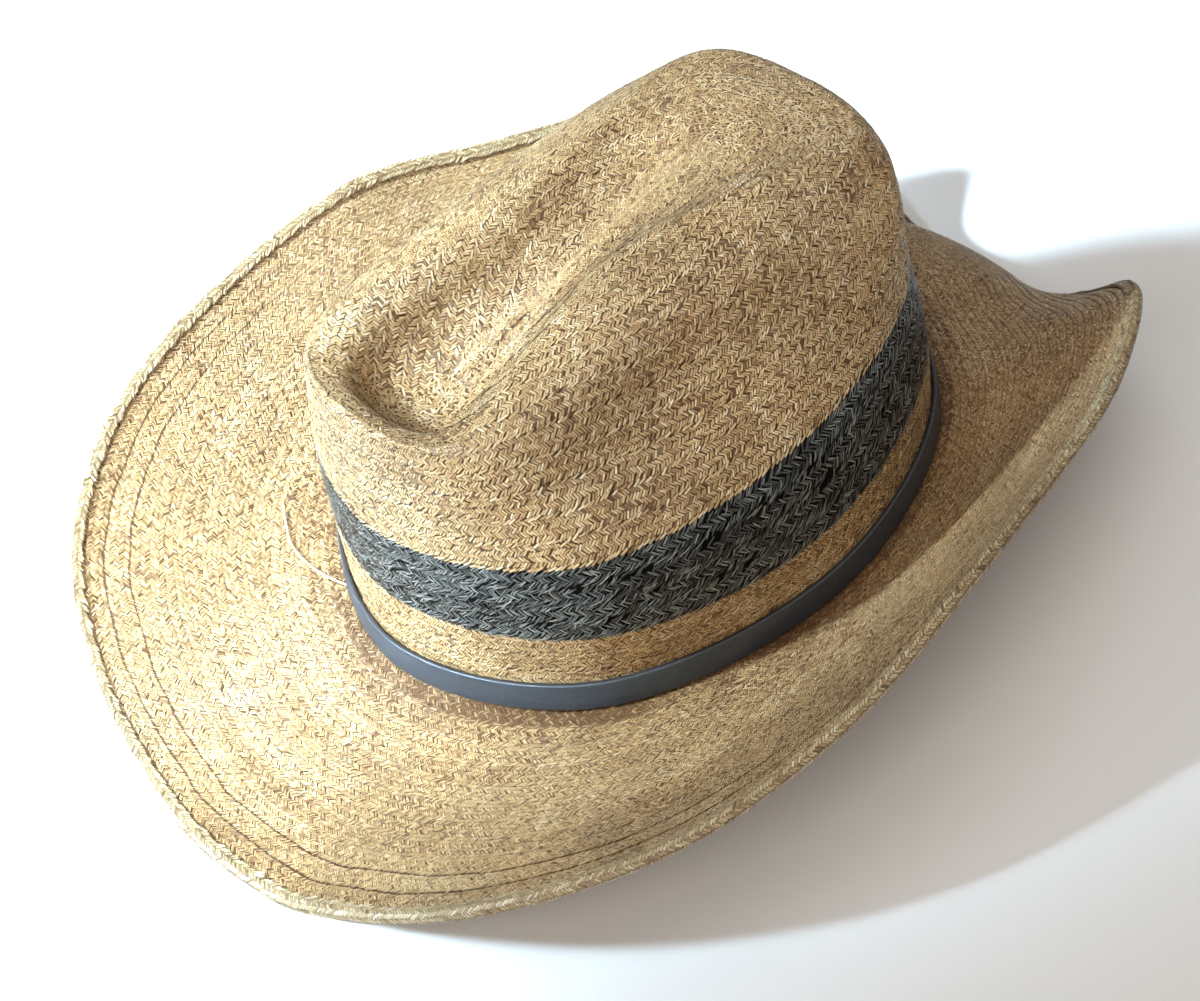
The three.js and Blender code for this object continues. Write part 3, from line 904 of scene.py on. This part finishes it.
def brim_piece(name, first, last, edge, seed):
    rng = np.random.default_rng(seed)
    grid = brim_grid[first * PER_ROW:last * PER_ROW + 1]
    rows = last - first
    weave = {**BRIM_WEAVE, "row_tone": BRIM_SHADE_AND_STAIN_TONES[first:last],
             "thread_rows": [row - first for row in THREADED], "open_rows": [row - first for row in OPENED]}
    straws = both_faces(grid, rows, weave, rng)
    rings = sewn_wall(grid, rows, weave["lap"], weave["thick"], True, edge)
    return plaited_piece(name, rings, True, straws, BRIM_SIZES, NATURAL_STRAW, BRIM_GAP_SHADE)


brim_edge = (EDGE_LINE - EDGE_UP * STRAW_SINK, EDGE_LINE - EDGE_UP * (STRAW_WALL - STRAW_SINK))
brim_outer = brim_piece("brim_outer_plait", 0, BRIM_OUTER, brim_edge, seed=15)
brim_inner = brim_piece("brim_inner_plait", BRIM_OUTER, BRIM_OUTER + BRIM_INNER, None, seed=16)
for piece in (brim_outer, brim_inner):
    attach(piece, "root")
    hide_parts("brim")

# Binding: a narrow, paler plait folded over the raw edge of the brim. It is sewn through both of its
# sides and the brim between them.
# The ramp's two lowest stops, below any straw's tone, are painted shade: the dark of the bare wall in the
# gaps and of each straw's sides and ends.
PALE_STRAW = straw_finish(
    "pale_straw",
    [(0.0, (0.1, 0.058, 0.026)), (0.07, (0.1, 0.058, 0.026)), (0.09, (0.22, 0.13, 0.055)),
     (0.3, (0.46, 0.31, 0.15)), (0.55, (0.6, 0.45, 0.24)), (0.78, (0.7, 0.57, 0.35)),
     (1.0, (0.8, 0.7, 0.5))],
    bump=0.35, roughness=(0.4, 0.58), specular=0.7, sheen=0.08)
BIND_WEAVE = {
    **CROWN_WEAVE, "columns": 7, "cell": 1.08, "lap": 0.0, "thick": 0.65, "row_width": 11.6, "stray": 3.0,
    "tone_spread": 0.13, "seam": 0.0, "selvedge_at": 0.985, "selvedge_pitch": 9.0}
BIND_SIZES = {"Straw length": 2.5, "Straw width": 0.66, "Straw tuck": 0.2}
# Painted shade: the tone of the bare wall that shows in the binding's gaps.
BIND_GAP_SHADE = 0.2
BIND_UNDER = -STRAW_WALL - 0.9
BIND_OVER = 0.85
FLANGE = 3.3
FLANGE_STEPS = 6
FOLD_REACH = 1.3
FOLD_STEPS = 8


def binding_section():
    """Lines across the folded plait: in from under the brim, round the edge and back over its top."""
    inner = short_of_edge(FLANGE)
    flange = [bent(BRIM_PROFILE, inner + (1 - inner) * k / FLANGE_STEPS) for k in range(FLANGE_STEPS)]
    middle, half = (BIND_UNDER + BIND_OVER) / 2, (BIND_OVER - BIND_UNDER) / 2
    fold = []
    for k in range(FOLD_STEPS + 1):
        a = np.pi * (k / FOLD_STEPS - 0.5)
        fold.append(EDGE_LINE + EDGE_OUT * (FOLD_REACH * np.cos(a)) + EDGE_UP * (middle + half * np.sin(a)))
    under = [line + EDGE_UP * BIND_UNDER for line in flange]
    over = [line + EDGE_UP * BIND_OVER for line in flange[::-1]]
    return np.array(under + fold + over)


def bound_wall(grid, thick):
    _, _, out = sheet_frames(grid)
    outside = (grid - out * STRAW_SINK)[:, ::WALL_STEP]
    inside = (grid - out * thick)[::-1, ::WALL_STEP]
    return np.concatenate([inside, outside]) * MM


bind_rng = np.random.default_rng(17)
bind_grid = sew_rows(binding_section(), 1, 0.0, bind_rng)
bind_straws = [lay_straws(bind_grid, 1, BIND_WEAVE, 1, bind_rng)]
bind_rings = bound_wall(bind_grid, BIND_WEAVE["thick"])
brim_binding = plaited_piece(
    "brim_binding_plait", bind_rings, True, bind_straws, BIND_SIZES, PALE_STRAW, BIND_GAP_SHADE)
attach(brim_binding, "root")
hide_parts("brim_binding")

# Hat band: a plain strap of smooth black leather lying round the foot of the crown, its edges
# rounded over and its top edge standing a hair off the straw.
BAND_LOW, BAND_HIGH = 1.2, 11.2
BAND_FACE, BAND_BACK, BAND_ROUND = 1.9, 0.45, 0.5
BAND_DOME = 0.12
BAND_STEP = 2
BAND_STRIPS = 8
STRIP_END, STRIP_SIDE = 0.01, 0.03
ROUND_STEPS = 5
DOME_SHARES = (0.25, 0.5, 0.75)


def rounded_edge(middle, first, last):
    """Quarter round of the strap: climbs up the crown, and distances out from it."""
    return [(middle + BAND_ROUND * np.sin(a), BAND_FACE - BAND_ROUND + BAND_ROUND * np.cos(a))
            for a in np.linspace(first, last, ROUND_STEPS)]


flat_low, flat_high = BAND_LOW + BAND_ROUND, BAND_HIGH - BAND_ROUND
band_section = rounded_edge(flat_low, -np.pi / 2, 0)
for share in DOME_SHARES:
    dome = BAND_DOME * 4 * share * (1 - share)
    band_section.append((flat_low + (flat_high - flat_low) * share, BAND_FACE + dome))
band_section += rounded_edge(flat_high, 0, np.pi / 2)
band_section += [(BAND_HIGH, BAND_BACK), (BAND_LOW, BAND_BACK)]
low_line = crown_points(TURNS, np.full((1, AROUND), BAND_LOW))[0]
high_line = crown_points(TURNS, np.full((1, AROUND), BAND_HIGH))[0]
band_around = unit(np.roll(low_line, -1, 0) - np.roll(low_line, 1, 0))
band_out = unit(np.cross(band_around, high_line - low_line))
band_rings = np.array([
    low_line + (high_line - low_line) * ((climb - BAND_LOW) / (BAND_HIGH - BAND_LOW)) + band_out * out
    for climb, out in band_section])[:, ::BAND_STEP] * MM
band_faces, band_turn = wall_faces(band_rings, True)
band_count = band_rings.shape[1]
outline = np.array(band_section + band_section[:1])
outline_run = np.concatenate([[0], np.cumsum(np.linalg.norm(np.diff(outline, axis=0), axis=1))])
strap_across = outline_run[np.round(band_turn[..., 1] * len(band_section)).astype(int)]
strap_along = band_turn[..., 0] * loop_steps(low_line).sum()
column = np.round(band_turn[..., 0] * band_count)
per_strip = band_count // BAND_STRIPS
strip = np.minimum(column.min(1) // per_strip, BAND_STRIPS - 1)[:, None]
band_uv = np.stack([
    STRIP_END + (1 - 2 * STRIP_END) * (column - strip * per_strip) / per_strip,
    (strip + STRIP_SIDE + (1 - 2 * STRIP_SIDE) * strap_across / outline_run[-1]) / BAND_STRIPS], -1)
band_mesh = bpy.data.meshes.new("leather_band")
band_mesh.from_pydata(band_rings.reshape(-1, 3).tolist(), [], band_faces.tolist())
band_mesh.uv_layers.new(name="OFBake").data.foreach_set("uv", band_uv.reshape(-1))
strap = np.stack([strap_along, strap_across, np.zeros_like(strap_along)], -1)
strap_layer = band_mesh.attributes.new("strap", "FLOAT_VECTOR", "CORNER")
strap_layer.data.foreach_set("vector", strap.astype(np.float32).reshape(-1))
EDGE_WEAR = [1, 0.9, 0.7, 0.35, 0.1]
rubbed = EDGE_WEAR + [0] * len(DOME_SHARES) + EDGE_WEAR[::-1] + [1, 1]
mark_points(band_mesh, {"rubbed": ("FLOAT", np.repeat(rubbed, band_count))})
band_mesh.polygons.foreach_set("use_smooth", [True] * len(band_mesh.polygons))
leather = bpy.data.materials.new("black_leather")
leather.use_nodes = True
hide = leather.node_tree
leather_shader = hide.nodes["Principled BSDF"]


def strap_noise(scale, stretch, detail):
    """Noise laid along the strap: stretch is (along, across) and the attribute is in millimetres."""
    spot = hide.nodes.new("ShaderNodeAttribute")
    spot.attribute_name = "strap"
    fit = hide.nodes.new("ShaderNodeVectorMath")
    fit.operation = "MULTIPLY"
    fit.inputs[1].default_value = (*stretch, 1.0)
    hide.links.new(spot.outputs["Vector"], fit.inputs[0])
    noise = hide.nodes.new("ShaderNodeTexNoise")
    noise.inputs["Scale"].default_value = scale
    noise.inputs["Detail"].default_value = detail
    hide.links.new(fit.outputs[0], noise.inputs["Vector"])
    return noise.outputs["Fac"]


def leather_mix(share, first, second):
    node = hide.nodes.new("ShaderNodeMix")
    node.data_type = "RGBA"
    hide.links.new(share, node.inputs["Factor"])
    for socket, value in ((node.inputs[6], first), (node.inputs[7], second)):
        if isinstance(value, tuple):
            socket.default_value = (*value, 1)
        else:
            hide.links.new(value, socket)
    return node.outputs[2]


DEEP_DYE, PALE_DYE = (0.02, 0.025, 0.034), (0.034, 0.042, 0.058)
SCUFF, BARE_EDGE = (0.2, 0.21, 0.23), (0.045, 0.034, 0.028)
DRAWN_SPAN, SCUFF_SPAN = (0.35, 0.65), (0.66, 0.74)
SCUFF_SHARE, WEAR_SHARE = (0, 0.6), (0, 0.55)
LEATHER_ROUGHNESS = (0.36, 0.52)
pores = strap_noise(scale=2.6, stretch=(1.0, 1.0), detail=4.0)
drawn = strap_noise(scale=1.0, stretch=(0.05, 1.1), detail=2.0)
scuffs = strap_noise(scale=1.0, stretch=(0.35, 4.0), detail=2.0)
edge_wear = hide.nodes.new("ShaderNodeAttribute")
edge_wear.attribute_name = "rubbed"
dyed = leather_mix(ranged(hide, drawn, DRAWN_SPAN, (0, 1)), DEEP_DYE, PALE_DYE)
scuffed = leather_mix(ranged(hide, scuffs, SCUFF_SPAN, SCUFF_SHARE), dyed, SCUFF)
worn = leather_mix(ranged(hide, edge_wear.outputs["Fac"], (0, 1), WEAR_SHARE), scuffed, BARE_EDGE)
hide.links.new(worn, leather_shader.inputs["Base Color"])
hide.links.new(ranged(hide, drawn, NOISE_SPAN, LEATHER_ROUGHNESS), leather_shader.inputs["Roughness"])
leather_shader.inputs["Specular IOR Level"].default_value = 1.0
leather_shader.inputs["Specular Tint"].default_value = (0.78, 0.89, 1.0, 1)
leather_relief = hide.nodes.new("ShaderNodeBump")
leather_relief.inputs["Strength"].default_value = 0.25
leather_relief.inputs["Distance"].default_value = 0.0001
hide.links.new(pores, leather_relief.inputs["Height"])
hide.links.new(leather_relief.outputs["Normal"], leather_shader.inputs["Normal"])
band_mesh.materials.append(leather)
hat_band = placed("leather_band", band_mesh)
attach(hat_band, "root")
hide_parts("hat_band")

# Loose straw: the free end of one palm strand that has worked out from under the leather band.
# It lies curled on the brim and is held only by the sewing behind the band.
# turn round the hat | share of the way from crown to brim edge
LOOSE_COURSE = np.array([
    (0.9300, 0.022), (0.9278, 0.038), (0.9194, 0.095), (0.9097, 0.152), (0.8972, 0.212), (0.8861, 0.238),
    (0.8764, 0.265)])
LOOSE_RADIUS = 0.36
LOOSE_LIFT = 0.45
LOOSE_SIDES = 6
LOOSE_STEPS = 28
LOOSE_TONE = 0.86
LOOSE_TAPER = ((0, 0.9, 1), (1, 0.9, 0.45))
TUBE_MARGIN, TUBE_SHARE = 0.02, 0.88
TIP_SIZE = 0.02
TIP_SPOTS = ((0.5, 0.93), (0.5, 0.98))
course_at = np.linspace(0, 1, len(LOOSE_COURSE))
loose_at = np.linspace(0, 1, LOOSE_STEPS)
loose_turn, loose_share = (
    through_rows(course_at, LOOSE_COURSE[:, None, k:k + 1], loose_at[:, None])[:, 0, 0] for k in (0, 1))
loose_line = bent(brim_profile(loose_turn), loose_share)
loose_line[:, 2] += LOOSE_RADIUS + LOOSE_LIFT
loose_along = unit(np.gradient(loose_line, axis=0))
loose_side = unit(np.cross(loose_along, (0, 0, 1)))
loose_up = np.cross(loose_side, loose_along)
spin = np.arange(LOOSE_SIDES) * 2 * np.pi / LOOSE_SIDES
taper = np.interp(loose_at, *LOOSE_TAPER)[:, None, None] * LOOSE_RADIUS
rounding = (loose_side[:, None] * np.cos(spin)[None, :, None]
            + loose_up[:, None] * np.sin(spin)[None, :, None])
loose_rings = (loose_line[:, None] + taper * rounding) * MM
loose_faces, loose_spots = wall_faces(loose_rings, False)
last_ring = LOOSE_SIDES * (LOOSE_STEPS - 1)
tips = [list(range(LOOSE_SIDES))[::-1], list(range(last_ring, last_ring + LOOSE_SIDES))]
loose_mesh = bpy.data.meshes.new("loose_straw")
loose_mesh.from_pydata(loose_rings.reshape(-1, 3).tolist(), [], loose_faces.tolist() + tips)
tip_ring = TIP_SIZE * np.stack([np.cos(spin), np.sin(spin)], 1)
tube_uv = (TUBE_MARGIN + TUBE_SHARE * loose_spots).reshape(-1, 2)
loose_uv = np.concatenate([tube_uv] + [tip_ring + spot for spot in TIP_SPOTS])
loose_mesh.uv_layers.new(name="OFBake").data.foreach_set("uv", loose_uv.reshape(-1))
loose_fibre = np.zeros((LOOSE_STEPS, LOOSE_SIDES, 3))
loose_fibre[..., 0] = loose_at[:, None] - 0.5
loose_fibre[..., 1] = 0.5 * np.sin(spin)[None]
mark_points(loose_mesh, {
    "tone": ("FLOAT", np.full(LOOSE_SIDES * LOOSE_STEPS, LOOSE_TONE)),
    "fibre": ("FLOAT_VECTOR", loose_fibre),
})
loose_mesh.polygons.foreach_set("use_smooth", [True] * len(loose_mesh.polygons))
loose_mesh.materials.append(PALE_STRAW)
loose_straw = placed("loose_straw", loose_mesh)
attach(loose_straw, "root")
